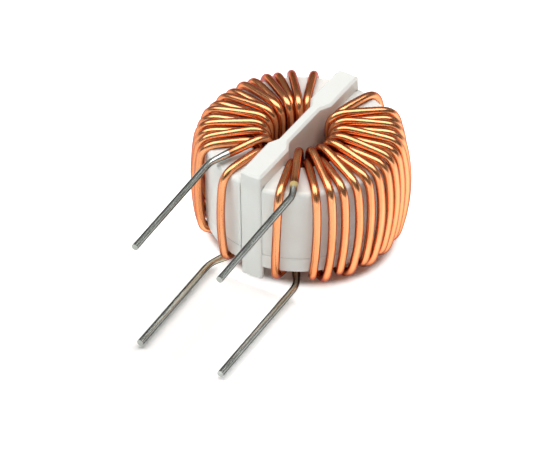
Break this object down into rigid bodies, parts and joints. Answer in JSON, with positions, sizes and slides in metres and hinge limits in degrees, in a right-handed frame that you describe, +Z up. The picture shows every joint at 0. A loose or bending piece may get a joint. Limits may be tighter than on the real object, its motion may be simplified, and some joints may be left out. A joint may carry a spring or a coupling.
{
  "type": "toroidal inductor",
  "caption": "Toroidal inductor with a ring core in a white plastic case, a dividing web between its enamelled copper coils and straight tinned leads at the front.",
  "frame": {"origin": "on the axis of the ring, in the plane of the foot of the divider's web, on which the part stands", "axes": "+Z up along the axis of the ring, +Y along the divider towards the back, away from the leads, +X to the right"},
  "size_m": [0.0229, 0.0357, 0.0146],
  "materials": {
    "ferrite": "dull sintered ferrite",
    "white_plastic": "satin moulded",
    "enamelled_copper": "clear enamel over drawn copper",
    "tinned_copper": "dip tinned, satin"
  },
  "bodies": {
    "root": {"core": "ferrite", "case_cup": "white_plastic", "case_lid": "white_plastic", "divider": "white_plastic", "winding_left": "enamelled_copper", "winding_right": "enamelled_copper", "lead_left_top": "tinned_copper", "lead_left_bottom": "tinned_copper", "lead_right_top": "tinned_copper", "lead_right_bottom": "tinned_copper"}
  },
  "joints": []
}
